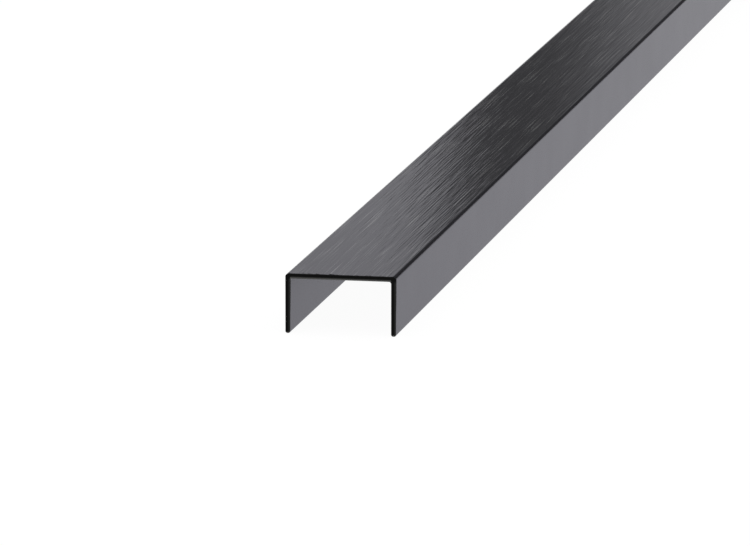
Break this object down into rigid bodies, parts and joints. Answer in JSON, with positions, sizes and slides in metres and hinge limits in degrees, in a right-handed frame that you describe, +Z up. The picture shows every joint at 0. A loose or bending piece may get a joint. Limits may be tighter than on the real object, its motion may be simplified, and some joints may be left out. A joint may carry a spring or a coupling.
{
  "type": "u-channel extrusion profile",
  "caption": "Straight U-section aluminium profile with a flat brushed web and plain flanges, black anodised, sawn to a stock length to edge, cap or guide a panel.",
  "frame": {"origin": "on the floor, under the middle of the profile", "axes": "+Y along the length, +X across the web, +Z up from the free edges of the flanges to the web"},
  "size_m": [0.0336, 1, 0.018],
  "materials": {
    "black_anodised": "black anodised, with the web's outer face brushed lengthwise and the sawn ends matt black"
  },
  "bodies": {
    "root": {"profile": "black_anodised"}
  },
  "joints": []
}
